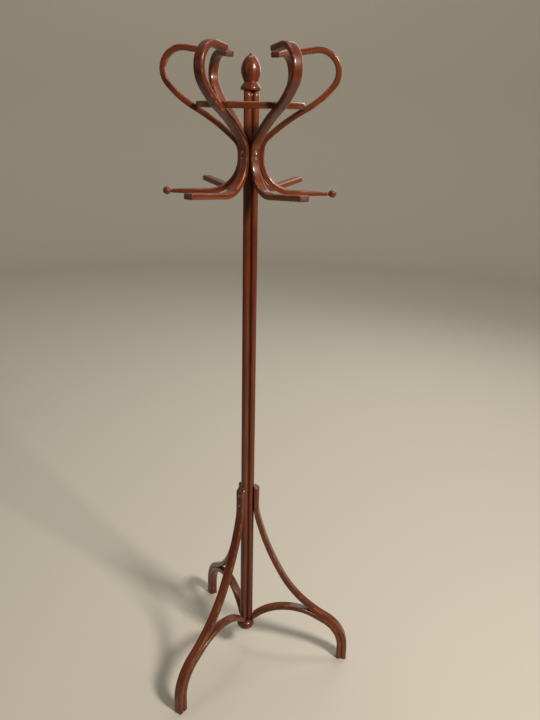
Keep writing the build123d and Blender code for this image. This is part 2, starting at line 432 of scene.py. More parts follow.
@dataclass
class Strap:
    """Bent strap of wood swept along a path in an upright plane.

    Attributes:
        path: Centre line.
        section: Section at a distance along the path.
        angle: Direction of the plane round the post, in degrees.
        first: Finish of the end at the start.
        last: Finish of the end at the finish.
        seed: Seed of its unevenness.
        uneven: Largest unevenness.
        spacing: Distance between rings on a bend.
    """

    path: BentPath
    section: Callable[[float], FlatSection]
    angle: float
    first: StrapEnd = StrapEnd()
    last: StrapEnd = StrapEnd()
    seed: int = 1
    uneven: float = 0.22 * MM
    spacing: float = 4.0 * MM
    straight_spacing: float = 10.0 * MM
    dense_ends: float = 24 * MM
    end_steps: int = 6

    def build(self, name: str) -> bpy.types.Object:
        """Sweeps the strap.

        Args:
            name: Name of the object.

        Returns:
            The object, with wood at material 0 and end grain at material 1.
        """
        surface = Surface()
        across_waver = Waver(self.seed, self.uneven)
        out_waver = Waver(self.seed + 101, self.uneven * 0.6, 0.23)
        length = self.path.length
        turn = math.radians(self.angle)
        outward = Vector((math.cos(turn), math.sin(turn), 0))
        sideways = Vector((-math.sin(turn), math.cos(turn), 0))
        rings: Rings = []
        for along in self._marks(length):
            station = self.path.at(along)
            inset = self._inset(along, length)
            section = self.section(along)
            shrunk = FlatSection(
                section.width - 2 * inset + across_waver(along) * (inset == 0),
                section.thickness - 2 * inset + out_waver(along) * (inset == 0),
                max(section.corner - inset, 0.5 * MM),
            )
            placed, straightened = [], []
            for point in shrunk.points():
                out, height = station.beside(point.out, self._push(along, length, point.out))
                placed.append(outward * out + sideways * point.across + Vector((0, 0, height)))
                straightened.append((along, point.across, point.out, point.edge))
            rings.append((surface.ring(placed), straightened))
        surface.skin(rings)
        return surface.to_object(name)

    def _marks(self, length: float) -> list[float]:
        """Distances of the rings, with extra ones over the rounded ends.

        Args:
            length: Whole length of the strap.

        Returns:
            Rising distances.
        """
        reach = max(self.first.radius, self.last.radius)
        inner = self.path.distances(self.spacing, self.straight_spacing, self.dense_ends)
        inner = [mark for mark in inner if reach < mark < length - reach]
        shares = [1 - math.cos(i / self.end_steps * math.pi / 2) for i in range(self.end_steps + 1)]
        start = [self.first.radius * share for share in shares]
        finish = [length - self.last.radius * share for share in reversed(shares)]
        return start + inner + finish

    def _inset(self, along: float, length: float) -> float:
        """How far the outline is drawn in, near a rounded end.

        Args:
            along: Distance along the strap.
            length: Whole length of the strap.

        Returns:
            Distance inwards.
        """
        for end, distance in ((self.first, along), (self.last, length - along)):
            if distance < end.radius:
                gone = end.radius - max(distance, 0.0)
                return end.radius - math.sqrt(max(end.radius ** 2 - gone ** 2, 0.0))
        return 0.0

    def _push(self, along: float, length: float, out: float) -> float:
        """Push along the path that gives an end its slant.

        Args:
            along: Distance along the strap.
            length: Whole length of the strap.
            out: Distance from the strap's middle plane.

        Returns:
            Distance along the path.
        """
        push = 0.0
        for end, distance in ((self.first, along), (self.last, length - along)):
            if end.reach > 0 and distance < end.reach:
                push += (end.setback + end.slope * out) * (1 - distance / end.reach)
        return push


@dataclass
class Turning:
    """Round piece turned on a lathe, from half of its outline.

    Attributes:
        outline: (distance from the axis, place along the axis), from the bottom to the top.
        steps: Number of sides round the axis.
    """

    outline: list[Point]
    steps: int = 56
    least_radius: float = 0.01 * MM
    sharp_turn: float = 0.6

    def build(self, name: str, place: Matrix) -> bpy.types.Object:
        """Spins the outline.

        Args:
            name: Name of the object.
            place: Where the piece's own axes lie.

        Returns:
            The object.
        """
        surface = Surface()
        sharp = self._sharpness()
        rings: Rings = []
        for (radius, height), edge in zip(self.outline, sharp):
            placed, straightened = [], []
            for i in range(self.steps):
                turn = math.tau * i / self.steps
                reach = max(radius, self.least_radius)
                local = Vector((reach * math.cos(turn), reach * math.sin(turn), height))
                placed.append(place @ local)
                straightened.append((height, local.x, local.y, edge))
            rings.append((surface.ring(placed), straightened))
        surface.skin(rings)
        surface.finish = [0] * len(surface.finish)
        return surface.to_object(name)

    def _sharpness(self) -> list[float]:
        """How sharp the outline turns outwards at each of its points, from 0 to 1."""
        result = [0.0]
        for before, here, after in zip(self.outline, self.outline[1:], self.outline[2:]):
            a = math.atan2(here[1] - before[1], here[0] - before[0])
            b = math.atan2(after[1] - here[1], after[0] - here[0])
            turn = (b - a + math.pi) % math.tau - math.pi
            result.append(min(max(turn / self.sharp_turn, 0.0), 1.0))
        return result + [0.0]


def outline_through(points: Sequence[Point], steps: int) -> list[Point]:
    """Smooth outline through a few points, as a Catmull-Rom curve.

    Args:
        points: Points that the curve passes.
        steps: Number of steps between neighbours.

    Returns:
        Points along the curve, both ends included.
    """
    ends = [points[0], *points, points[-1]]
    result: list[Point] = []
    for p0, p1, p2, p3 in zip(ends, ends[1:], ends[2:], ends[3:]):
        for i in range(steps):
            t = i / steps
            weights = (
                (-t + 2 * t ** 2 - t ** 3) / 2,
                (2 - 5 * t ** 2 + 3 * t ** 3) / 2,
                (t + 4 * t ** 2 - 3 * t ** 3) / 2,
                (t ** 3 - t ** 2) / 2,
            )
            near = (p0, p1, p2, p3)
            result.append(tuple(sum(w * p[axis] for w, p in zip(weights, near)) for axis in (0, 1)))
    return result + [tuple(points[-1])]


def outline_arc(centre: Point, radius: float, start: float, finish: float, steps: int) -> list[Point]:
    """Points along a circular arc of an outline, both ends included.

    Args:
        centre: Centre of the arc.
        radius: Its radius.
        start: First angle in degrees.
        finish: Last angle in degrees.
        steps: Number of steps.

    Returns:
        The points.
    """
    turns = [math.radians(start + (finish - start) * i / steps) for i in range(steps + 1)]
    return [(centre[0] + radius * math.cos(t), centre[1] + radius * math.sin(t)) for t in turns]


# ---------------------------------------------------------------------------------------------------------
# Shader groups
# ---------------------------------------------------------------------------------------------------------


class Wiring:
    """Adds and joins shader nodes in one tree."""

    def __init__(self, tree: bpy.types.NodeTree) -> None:
        """Works in this tree."""
        self.tree = tree
        self.column = 0

    def node(self, kind: str, **settings: object) -> bpy.types.Node:
        """Adds a node.

        Args:
            kind: Its type.
            settings: Properties to set on it.

        Returns:
            The node.
        """
        made = self.tree.nodes.new(kind)
        self.column += 1
        made.location = (200 * (self.column % 12), -220 * (self.column // 12))
        for name, value in settings.items():
            setattr(made, name, value)
        return made

    def feed(self, socket: Socket, value: Value) -> None:
        """Sets an input, or links it if the value is a socket.

        Args:
            socket: The input.
            value: The value or the socket.
        """
        if isinstance(value, bpy.types.NodeSocket):
            self.tree.links.new(value, socket)
        else:
            socket.default_value = value

    def math(self, operation: str, a: Value, b: Value = 0.5, c: Value = 0.5, clamp: bool = False) -> Socket:
        """Math node.

        Args:
            operation: Its operation.
            a: First value.
            b: Second value.
            c: Third value.
            clamp: Whether the result is kept between 0 and 1.

        Returns:
            The result.
        """
        made = self.node("ShaderNodeMath", operation=operation, use_clamp=clamp)
        for socket, value in zip(made.inputs, (a, b, c)):
            self.feed(socket, value)
        return made.outputs[0]

    def scaled(self, vector: Value, scale: Sequence[float]) -> Socket:
        """The vector times another, axis by axis.

        Args:
            vector: The vector.
            scale: The other one.

        Returns:
            The product.
        """
        made = self.node("ShaderNodeVectorMath", operation="MULTIPLY")
        self.feed(made.inputs[0], vector)
        self.feed(made.inputs[1], scale)
        return made.outputs[0]

    def split(self, vector: Socket) -> bpy.types.NodeOutputs:
        """The vector's X, Y and Z."""
        made = self.node("ShaderNodeSeparateXYZ")
        self.feed(made.inputs[0], vector)
        return made.outputs

    def noise(self, vector: Socket, scale: Value, detail: float, roughness: float, warp: float = 0.0) -> Socket:
        """Noise texture.

        Args:
            vector: Where it is read.
            scale: Its scale.
            detail: Octaves.
            roughness: Weight of the finer octaves.
            warp: Distortion.

        Returns:
            The noise, about 0.5.
        """
        made = self.node("ShaderNodeTexNoise")
        self.feed(made.inputs["Vector"], vector)
        self.feed(made.inputs["Scale"], scale)
        made.inputs["Detail"].default_value = detail
        made.inputs["Roughness"].default_value = roughness
        made.inputs["Distortion"].default_value = warp
        return made.outputs["Fac"]

    def ramp(self, value: Socket, low: float, high: float, to_low: Value = 0.0, to_high: Value = 1.0) -> Socket:
        """Smooth ramp.

        Args:
            value: What is mapped.
            low: Value at which the ramp begins.
            high: Value at which it ends.
            to_low: Result at the beginning.
            to_high: Result at the end.

        Returns:
            The mapped value.
        """
        made = self.node("ShaderNodeMapRange", interpolation_type="SMOOTHSTEP", clamp=True)
        names = ("Value", "From Min", "From Max", "To Min", "To Max")
        for name, amount in zip(names, (value, low, high, to_low, to_high)):
            self.feed(made.inputs[name], amount)
        return made.outputs["Result"]

    def mix(self, factor: Value, a: Value, b: Value) -> Socket:
        """Colour mix.

        Args:
            factor: Share of the second colour.
            a: First colour.
            b: Second colour.

        Returns:
            The mixed colour.
        """
        made = self.node("ShaderNodeMix", data_type="RGBA", clamp_factor=True)
        sockets = [s for s in made.inputs if s.enabled]
        for socket, value in zip(sockets, (factor, a, b)):
            self.feed(socket, value)
        return next(s for s in made.outputs if s.enabled)

    def bump(self, height: Socket, strength: float, distance: float) -> Socket:
        """Bump.

        Args:
            height: Height of the surface, from 0 to 1.
            strength: How strongly it shows.
            distance: Height that 1 stands for.

        Returns:
            The bent normal.
        """
        made = self.node("ShaderNodeBump")
        for name, value in (("Strength", strength), ("Distance", distance), ("Height", height)):
            self.feed(made.inputs[name], value)
        return made.outputs["Normal"]


class ShaderGroup:
    """A shader node group that is built once and placed in each material with its own values."""

    name = "Group"
    inputs: tuple[tuple[str, str, object], ...] = ()
    outputs: tuple[tuple[str, str], ...] = ()

    @classmethod
    def tree(cls) -> bpy.types.NodeTree:
        """The group's node tree, built at the first call."""
        if cls.name in bpy.data.node_groups:
            return bpy.data.node_groups[cls.name]
        made = bpy.data.node_groups.new(cls.name, "ShaderNodeTree")
        for label, kind, default in cls.inputs:
            socket = made.interface.new_socket(name=label, in_out="INPUT", socket_type=kind)
            if default is not None:
                socket.default_value = default
        for label, kind in cls.outputs:
            made.interface.new_socket(name=label, in_out="OUTPUT", socket_type=kind)
        wiring = Wiring(made)
        cls.wire(wiring, wiring.node("NodeGroupInput"), wiring.node("NodeGroupOutput"))
        return made

    @classmethod
    def wire(cls, wiring: Wiring, given: bpy.types.Node, result: bpy.types.Node) -> None:
        """Fills the group."""
        raise NotImplementedError

    @classmethod
    def place(cls, wiring: Wiring, **values: Value) -> bpy.types.Node:
        """Places the group in a material.

        Args:
            wiring: The material's wiring.
            values: Inputs by name, with underscores for spaces.

        Returns:
            The group node.
        """
        made = wiring.node("ShaderNodeGroup")
        made.node_tree = cls.tree()
        for label, value in values.items():
            wiring.feed(made.inputs[label.replace("_", " ")], value)
        return made


VECTOR, FLOAT = "NodeSocketVector", "NodeSocketFloat"


class LongGrain(ShaderGroup):
    """Straight grain of beech along X: broad figure, fine fibres and short dark flecks."""

    name = "Long grain"
    inputs = (("Vector", VECTOR, None), ("Fineness", FLOAT, 1.0), ("Fleck Amount", FLOAT, 0.5))
    outputs = (("Figure", FLOAT), ("Fibre", FLOAT), ("Fleck", FLOAT), ("Height", FLOAT))
    stretches = (0.055, 0.018, 0.1)
    figure_scale, fibre_scale, fleck_scale = 62.0, 760.0, 1150.0

    @classmethod
    def wire(cls, wiring: Wiring, given: bpy.types.Node, result: bpy.types.Node) -> None:
        """Figure, fibres and flecks, each stretched along the wood."""
        vector, fineness = given.outputs["Vector"], given.outputs["Fineness"]
        broad, long, short = (wiring.scaled(vector, (stretch, 1.0, 1.0)) for stretch in cls.stretches)
        figure = wiring.noise(broad, cls.figure_scale, detail=3.0, roughness=0.5, warp=0.9)
        fibre_scale = wiring.math("MULTIPLY", fineness, cls.fibre_scale)
        fibre = wiring.noise(long, fibre_scale, detail=3.0, roughness=0.62, warp=0.2)
        fleck_scale = wiring.math("MULTIPLY", fineness, cls.fleck_scale)
        specks = wiring.noise(short, fleck_scale, detail=1.0, roughness=0.4)
        fleck = wiring.math("MULTIPLY", wiring.ramp(specks, low=0.63, high=0.74), given.outputs["Fleck Amount"])
        height = wiring.math("SUBTRACT", wiring.math("MULTIPLY", fibre, 0.6), fleck)
        wiring.feed(result.inputs["Figure"], wiring.ramp(figure, low=0.3, high=0.7))
        wiring.feed(result.inputs["Fibre"], wiring.ramp(fibre, low=0.3, high=0.72))
        wiring.feed(result.inputs["Fleck"], fleck)
        wiring.feed(result.inputs["Height"], height)


class StainPatches(ShaderGroup):
    """Slow changes in how deep the stain went, in soft clouds and streaks along X."""

    name = "Stain patches"
    inputs = (("Vector", VECTOR, None), ("Scale", FLOAT, 9.0))
    outputs = (("Depth", FLOAT), ("Warmth", FLOAT))
    cloud_stretch, streak_stretch = (0.6, 1.0, 1.0), (0.12, 1.6, 1.6)

    @classmethod
    def wire(cls, wiring: Wiring, given: bpy.types.Node, result: bpy.types.Node) -> None:
        """Two layers of cloud."""
        vector, scale = given.outputs["Vector"], given.outputs["Scale"]
        wide, thin = wiring.scaled(vector, cls.cloud_stretch), wiring.scaled(vector, cls.streak_stretch)
        clouds = wiring.noise(wide, scale, detail=4.0, roughness=0.6, warp=0.4)
        finer = wiring.math("MULTIPLY", scale, 4.0)
        streaks = wiring.noise(thin, finer, detail=3.0, roughness=0.5, warp=0.3)
        both = wiring.math("ADD", wiring.math("MULTIPLY", clouds, 0.6), wiring.math("MULTIPLY", streaks, 0.4))
        wiring.feed(result.inputs["Depth"], wiring.ramp(both, low=0.36, high=0.64))
        wiring.feed(result.inputs["Warmth"], wiring.ramp(streaks, low=0.38, high=0.66))


class EdgeWear(ShaderGroup):
    """Worn edges, broken up so that only some stretches have lost their colour."""

    name = "Edge wear"
    inputs = (
        ("Vector", VECTOR, None), ("Edge", FLOAT, 0.0), ("Amount", FLOAT, 0.5), ("Breakup Scale", FLOAT, 24.0),
    )
    outputs = (("Wear", FLOAT), ("Scuff", FLOAT))

    @classmethod
    def wire(cls, wiring: Wiring, given: bpy.types.Node, result: bpy.types.Node) -> None:
        """Edge times noise, plus small scuffs all over."""
        vector, scale = given.outputs["Vector"], given.outputs["Breakup Scale"]
        breakup = wiring.noise(vector, scale, detail=5.0, roughness=0.68, warp=0.5)
        reach = wiring.math("SUBTRACT", 1.0, wiring.math("MULTIPLY", given.outputs["Amount"], 0.6))
        raised = wiring.math("MULTIPLY", given.outputs["Edge"], wiring.ramp(breakup, low=0.4, high=0.68))
        shown = wiring.math("SUBTRACT", raised, wiring.math("MULTIPLY", reach, 0.55), clamp=True)
        faded = wiring.ramp(shown, low=0.0, high=0.28)
        wear = wiring.math("MULTIPLY", faded, given.outputs["Amount"], clamp=True)
        fine = wiring.noise(vector, wiring.math("MULTIPLY", scale, 11.0), detail=2.0, roughness=0.5, warp=1.2)
        wiring.feed(result.inputs["Wear"], wear)
        wiring.feed(result.inputs["Scuff"], wiring.ramp(fine, low=0.62, high=0.8))


class TopDust(ShaderGroup):
    """Thin dust on faces that look up."""

    name = "Top dust"
    inputs = (("Vector", VECTOR, None), ("Amount", FLOAT, 0.2))
    outputs = (("Dust", FLOAT),)
    grain_scale = 260.0

    @classmethod
    def wire(cls, wiring: Wiring, given: bpy.types.Node, result: bpy.types.Node) -> None:
        """Upward share of the normal times noise."""
        normal = wiring.node("ShaderNodeNewGeometry").outputs["Normal"]
        upward = wiring.ramp(wiring.split(normal)["Z"], low=0.55, high=1.0)
        grains = wiring.noise(given.outputs["Vector"], cls.grain_scale, detail=4.0, roughness=0.7)
        clumps = wiring.math("MULTIPLY", upward, wiring.ramp(grains, low=0.42, high=0.72))
        wiring.feed(result.inputs["Dust"], wiring.math("MULTIPLY", clumps, given.outputs["Amount"]))


# ---------------------------------------------------------------------------------------------------------
# Finishes
# ---------------------------------------------------------------------------------------------------------


class Paint:
    """A finish whose material is built at the first call."""

    name: str

    def make(self) -> bpy.types.Material:
        """The material.

        Returns:
            The one already built, or a new one.
        """
        if self.name in bpy.data.materials:
            return bpy.data.materials[self.name]
        made = bpy.data.materials.new(self.name)
        made.use_nodes = True
        made.node_tree.nodes.clear()
        wiring = Wiring(made.node_tree)
        shader = wiring.node("ShaderNodeBsdfPrincipled")
        output = wiring.node("ShaderNodeOutputMaterial")
        made.node_tree.links.new(shader.outputs["BSDF"], output.inputs["Surface"])
        for name, value in self.shading(wiring).items():
            wiring.feed(shader.inputs[name], value)
        return made

    def shading(self, wiring: Wiring) -> dict[str, Value]:
        """What the shader is fed, by the names of its inputs."""
        raise NotImplementedError


@dataclass(frozen=True)
class LacqueredWood(Paint):
    """Red-brown stained beech under gloss lacquer.

    Attributes:
        name: Material name.
        deep: Colour where the stain is darkest, also used as the painted shade in the post's grooves.
        middle: Usual colour.
        warm: Colour where the wood shows through.
        worn: Colour of rubbed edges.
        dusty: Colour of the dust.
        stain_scale: Scale of the stain's patches.
        grain_strength: Contrast of the fibres.
        fleck_amount: Depth of the short dark flecks.
        wear_amount: How much of the edges is rubbed.
        base_gloss: Roughness of the wood under the lacquer.
        coat: Weight of the lacquer, where it is whole.
        under_gloss: Specular level of the wood under the lacquer.
        dust: How much dust lies on faces that look up.
        groove_shade_radius: Distance from the axis inside which the grooves get painted shade, or 0.
    """

    name: str
    deep: Colour = (0.014, 0.0022, 0.0010, 1.0)
    middle: Colour = (0.086, 0.0130, 0.0030, 1.0)
    warm: Colour = (0.215, 0.048, 0.010, 1.0)
    worn: Colour = (0.31, 0.098, 0.026, 1.0)
    dusty: Colour = (0.42, 0.36, 0.30, 1.0)
    stain_scale: float = 9.0
    grain_strength: float = 0.55
    fleck_amount: float = 0.55
    wear_amount: float = 0.5
    base_gloss: float = 0.34
    coat: float = 0.6
    coat_roughness: float = 0.13
    coat_ior: float = 1.42
    under_gloss: float = 0.2
    dust: float = 0.05
    wear_scale: float = 24.0
    # Painted shade in the post's grooves: where it begins, how far out it fades, and how dark it gets.
    groove_shade_radius: float = 0.0
    groove_shade_edge: float = 1.3
    groove_shade_depth: float = 0.85

    def shading(self, wiring: Wiring) -> dict[str, Value]:
        """Stain, grain, wear and dust under the lacquer, with painted shade in the grooves where a groove
        radius is set.

        Args:
            wiring: The material's wiring.

        Returns:
            What the shader is fed.
        """
        vector, edge = self._where(wiring)
        grain = LongGrain.place(wiring, Vector=vector, Fineness=1.0, Fleck_Amount=self.fleck_amount)
        stain = StainPatches.place(wiring, Vector=vector, Scale=self.stain_scale)
        wear = EdgeWear.place(
            wiring, Vector=vector, Edge=edge, Amount=self.wear_amount, Breakup_Scale=self.wear_scale
        )
        dust = TopDust.place(wiring, Vector=vector, Amount=self.dust)
        depth = wiring.math("MULTIPLY", stain.outputs["Depth"], 0.7)
        colour = wiring.mix(depth, self.middle, self.deep)
        lift = wiring.math("MULTIPLY", grain.outputs["Figure"], 0.62)
        colour = wiring.mix(wiring.math("MULTIPLY", stain.outputs["Warmth"], lift), colour, self.warm)
        fibre = wiring.math("MULTIPLY", grain.outputs["Fibre"], self.grain_strength)
        colour = wiring.mix(fibre, colour, wiring.mix(0.5, colour, self.warm))
        colour = wiring.mix(grain.outputs["Fleck"], colour, self.deep)
        colour = wiring.mix(wear.outputs["Wear"], colour, self.worn)
        # Painted shade: the post's grooves are darkened towards the deep colour, by distance from the axis.
        if self.groove_shade_radius > 0:
            colour = wiring.mix(self._painted_groove_shade(wiring), colour, self.deep)
        colour = wiring.mix(dust.outputs["Dust"], colour, self.dusty)
        rough = wiring.math("MULTIPLY_ADD", grain.outputs["Fibre"], 0.10, self.base_gloss)
        rough = wiring.math("MULTIPLY_ADD", wear.outputs["Wear"], 0.18, rough)
        rough = wiring.math("MULTIPLY_ADD", wear.outputs["Scuff"], 0.10, rough)
        rough = wiring.math("ADD", rough, dust.outputs["Dust"])
        coat = wiring.math("MULTIPLY_ADD", wear.outputs["Wear"], -0.5, self.coat)
        coat = wiring.math("MULTIPLY_ADD", wear.outputs["Scuff"], -0.22, coat, clamp=True)
        return {
            "Base Color": colour,
            "Roughness": rough,
            "Specular IOR Level": self.under_gloss,
            "Coat Weight": coat,
            "Coat Roughness": self.coat_roughness,
            "Coat IOR": self.coat_ior,
            "Normal": wiring.bump(grain.outputs["Height"], strength=0.32, distance=0.16 * MM),
        }

    def _where(self, wiring: Wiring) -> tuple[Socket, Socket]:
        """Grain coordinates with X along the wood, and the edge mask.

        Args:
            wiring: The material's wiring.

        Returns:
            The vector and the mask.
        """
        grain, depth = (
            wiring.split(wiring.node("ShaderNodeUVMap", uv_map=name).outputs[0]) for name in ("grain", "depth")
        )
        joined = wiring.node("ShaderNodeCombineXYZ")
        for axis, value in zip("XYZ", (grain["X"], grain["Y"], depth["X"])):
            wiring.feed(joined.inputs[axis], value)
        return joined.outputs[0], depth["Y"]

    def _painted_groove_shade(self, wiring: Wiring) -> Socket:
        """Mask of painted shade in the grooves, from the distance to the upright axis.

        Args:
            wiring: The material's wiring.

        Returns:
            The mask of painted shade.
        """
        place = wiring.split(wiring.node("ShaderNodeTexCoord").outputs["Object"])
        squares = [wiring.math("MULTIPLY", place[axis], place[axis]) for axis in "XY"]
        radius = wiring.math("SQRT", wiring.math("ADD", *squares))
        low, high = self.groove_shade_radius, self.groove_shade_radius * self.groove_shade_edge
        return wiring.ramp(radius, low, high, to_low=self.groove_shade_depth, to_high=0.0)


@dataclass(frozen=True)
class EndGrain(Paint):
    """Sawn and sealed end of a strap, darker where it drank the stain.

    Attributes:
        name: Material name.
        dark: Colour of the pores.
        light: Colour between them.
    """

    name: str
    dark: Colour = (0.014, 0.0042, 0.0028, 1.0)
    light: Colour = (0.085, 0.022, 0.010, 1.0)
    pore_scale: float = 900.0
    ring_scale: float = 260.0
    ring_stretch: tuple[float, float, float] = (1.0, 0.35, 0.6)

    def shading(self, wiring: Wiring) -> dict[str, Value]:
        """Pores and growth rings under thin lacquer.

        Args:
            wiring: The material's wiring.

        Returns:
            What the shader is fed.
        """
        where = wiring.node("ShaderNodeTexCoord").outputs["Object"]
        pores = wiring.noise(where, self.pore_scale, detail=2.0, roughness=0.6)
        stretched = wiring.scaled(where, self.ring_stretch)
        rings = wiring.noise(stretched, self.ring_scale, detail=3.0, roughness=0.6, warp=0.6)
        both = wiring.math("ADD", wiring.math("MULTIPLY", pores, 0.5), wiring.math("MULTIPLY", rings, 0.5))
        share = wiring.ramp(both, low=0.38, high=0.62)
        return {
            "Base Color": wiring.mix(share, self.dark, self.light),
            "Roughness": wiring.ramp(pores, low=0.3, high=0.7, to_low=0.42, to_high=0.62),
            "Coat Weight": 0.35,
            "Coat Roughness": 0.2,
            "Normal": wiring.bump(share, strength=0.4, distance=0.2 * MM),
        }


@dataclass(frozen=True)
class DarkSteel(Paint):
    """Old steel of the screws, with turning marks, brown patina and bright rubbed spots.

    Attributes:
        name: Material name.
        metal: Colour of the bare metal.
        patina: Colour of the patina.
    """

    name: str
    metal: Colour = (0.30, 0.265, 0.225, 1.0)
    patina: Colour = (0.052, 0.032, 0.022, 1.0)
    wear_scale: float = 180.0
    spot_scale: float = 420.0
    mark_scale: float = 900.0
    mark_stretch: tuple[float, float, float] = (1.0, 1.0, 6.0)

    def shading(self, wiring: Wiring) -> dict[str, Value]:
        """Patina in spots, rubbed off the edges.

        Args:
            wiring: The material's wiring.

        Returns:
            What the shader is fed.
        """
        where = wiring.node("ShaderNodeTexCoord").outputs["Object"]
        edge = wiring.ramp(wiring.node("ShaderNodeNewGeometry").outputs["Pointiness"], low=0.5, high=0.56)
        wear = EdgeWear.place(wiring, Vector=where, Edge=edge, Amount=0.9, Breakup_Scale=self.wear_scale)
        spots = wiring.noise(where, self.spot_scale, detail=4.0, roughness=0.65, warp=0.6)
        stretched = wiring.scaled(where, self.mark_stretch)
        marks = wiring.noise(stretched, self.mark_scale, detail=2.0, roughness=0.5)
        patina = wiring.ramp(spots, low=0.35, high=0.62)
        cover = wiring.math("SUBTRACT", patina, wear.outputs["Wear"], clamp=True)
        return {
            "Base Color": wiring.mix(cover, self.metal, self.patina),
            "Metallic": wiring.ramp(cover, low=0.0, high=1.0, to_low=1.0, to_high=0.55),
            "Roughness": wiring.ramp(spots, low=0.3, high=0.7, to_low=0.34, to_high=0.62),
            "Normal": wiring.bump(marks, strength=0.35, distance=0.08 * MM),
        }


class Finish(Enum):
    """Finishes of the stand."""

    BENT = LacqueredWood("strap_wood")
    HOOP = LacqueredWood("hoop_wood", stain_scale=7.0)
    TURNED = LacqueredWood("turned_wood", stain_scale=13.0, wear_amount=0.62, grain_strength=0.5)
    # The post's grooves get painted shade.
    POST = LacqueredWood("post_wood", stain_scale=6.0, groove_shade_radius=11.6 * MM, wear_amount=0.3)
    ENDS = EndGrain("sealed_end_grain")
    SCREWS = DarkSteel("dark_screw_steel")


STRAP_FINISHES = (Finish.BENT, Finish.ENDS)


def coat(piece: bpy.types.Object, finishes: Sequence[Finish]) -> None:
    """Gives a piece its materials.

    Args:
        piece: The piece.
        finishes: Its finishes, in the order of its material indices.
    """
    for finish in finishes:
        piece.data.materials.append(finish.value.make())


def dress(piece: bpy.types.Object, finishes: Sequence[Finish], node: str) -> None:
    """Gives a piece its materials, its place in the frame and the node it stands for.

    Args:
        piece: The piece.
        finishes: Its finishes, in the order of its material indices.
        node: CAD node that it replaces.
    """
    if not piece.data.materials:
        coat(piece, finishes)
    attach(piece, BODY)
    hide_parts(node)
    gaps = []
    for axis in range(3):
        places = [point.co[axis] for point in piece.data.vertices]
        low, high = (corner[axis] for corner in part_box(node))
        gaps += [abs(min(places) - low), abs(max(places) - high)]
    faces = len(piece.data.polygons)
    LOG.info("%s: %d faces, box within %.2f mm of the frame's", piece.name, faces, max(gaps) / MM)


def bore_out(piece: bpy.types.Object, cutters: Sequence[bpy.types.Object]) -> None:
    """Cuts holes into a piece and deletes the cutters.

    Args:
        piece: The piece.
        cutters: Closed meshes.
    """
    for cutter in cutters:
        cut = piece.modifiers.new("bore", "BOOLEAN")
        cut.operation, cut.solver, cut.object = "DIFFERENCE", "EXACT", cutter
    graph = bpy.context.evaluated_depsgraph_get()
    worked = piece.evaluated_get(graph)
    bored = bpy.data.meshes.new_from_object(worked, preserve_all_data_layers=True, depsgraph=graph)
    old = piece.data
    piece.modifiers.clear()
    piece.data = bored
    bored.name = piece.name
    bpy.data.meshes.remove(old)
    for cutter in cutters:
        mesh = cutter.data
        bpy.data.objects.remove(cutter)
        bpy.data.meshes.remove(mesh)


# ---------------------------------------------------------------------------------------------------------
# Sub-assemblies
# ---------------------------------------------------------------------------------------------------------


@dataclass
class Stock:
    """Sizes that several sub-assemblies share: the straps, the post and where things touch.

    Attributes:
        strap_corner: Radius of a strap's long edges.
        lobe_radius: Radius of each of the post's lobes.
        first_lobe: Direction of the first lobe, in degrees.
        head_radius: Radius of a screw's head.
        head_height: Depth of its cone.
        recess: Room round the head.
        shank_radius: Radius of the hole below the head.
        hole_depth: How deep the cutter goes.
        hole_rise: How far the cutter stands out.
    """

    strap_corner: float = 4.5 * MM
    lobe_radius: float = 10.3 * MM
    first_lobe: float = -5.0
    head_radius: float = 4.0 * MM
    head_height: float = 2.4 * MM
    recess: float = 0.25 * MM
    shank_radius: float = 2.1 * MM
    hole_depth: float = 9 * MM
    hole_rise: float = 6 * MM

    @property
    def lobe_offset(self) -> float:
        """Distance of a lobe's centre from the post's axis."""
        return 2 * self.lobe_radius / math.sqrt(3)

    @property
    def lobe_contact(self) -> float:
        """Distance from the axis to the outside of a lobe."""
        return self.lobe_offset + self.lobe_radius

    def contact(self, angle: float) -> float:
        """Distance from the axis at which a flat strap touches the post.

        Args:
            angle: The strap's direction round the post, in degrees.

        Returns:
            The distance.
        """
        off_lobe = (angle - self.first_lobe + 60) % 120 - 60
        return self.lobe_offset * math.cos(math.radians(off_lobe)) + self.lobe_radius

    def countersink(self, head: Point, heading: float, angle: float) -> bpy.types.Object:
        """Cutter for one countersunk hole.

        Args:
            head: Place of the screw's head, out from the axis and up.
            heading: Direction in which the head faces, in degrees from outwards.
            angle: Direction of the plane round the post, in degrees.

        Returns:
            A closed cutter.
        """
        turn, tilt = math.radians(angle), math.radians(heading)
        facing = Vector((math.cos(tilt) * math.cos(turn), math.cos(tilt) * math.sin(turn), math.sin(tilt)))
        centre = Vector((head[0] * math.cos(turn), head[0] * math.sin(turn), head[1]))
        place = Matrix.Translation(centre) @ facing.to_track_quat("Z", "Y").to_matrix().to_4x4()
        wide, narrow = self.head_radius + self.recess, self.shank_radius
        deep, proud = -self.hole_depth, self.hole_rise
        outline = [(0, deep), (narrow, deep), (narrow, -self.head_height), (wide, 0), (wide, proud), (0, proud)]
        return Turning(outline, steps=28).build("countersink", place)


